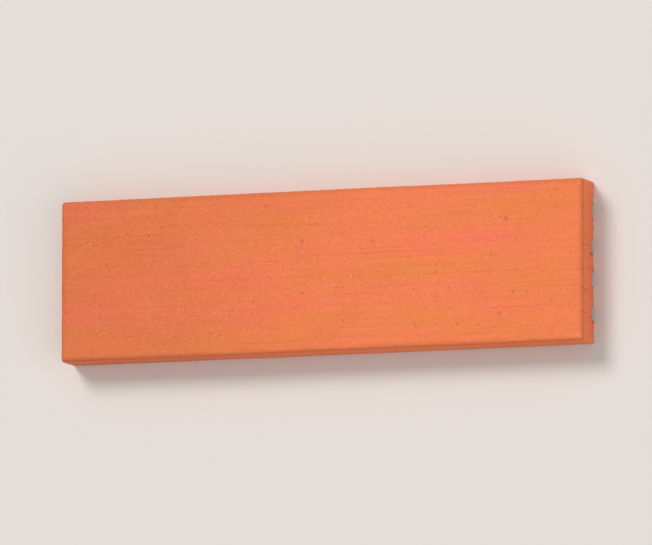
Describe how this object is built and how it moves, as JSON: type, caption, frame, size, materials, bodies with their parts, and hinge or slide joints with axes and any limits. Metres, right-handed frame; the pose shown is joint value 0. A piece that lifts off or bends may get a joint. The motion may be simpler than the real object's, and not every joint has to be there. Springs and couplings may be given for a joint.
{
  "type": "thin brick veneer",
  "caption": "Thin fired-clay slip with a smooth rectangular face and a dovetail-keyed back, bonded to a wall as brick cladding.",
  "frame": {"origin": "middle of the back, on the plane that the slip is bonded or laid on", "axes": "+X along the length, +Y across the courses, +Z out of the exposed face"},
  "size_m": [0.1938, 0.0572, 0.0127],
  "materials": {
    "fired_clay": "matte orange-red fired clay"
  },
  "bodies": {
    "root": {"thin_brick": "fired_clay"}
  },
  "joints": []
}
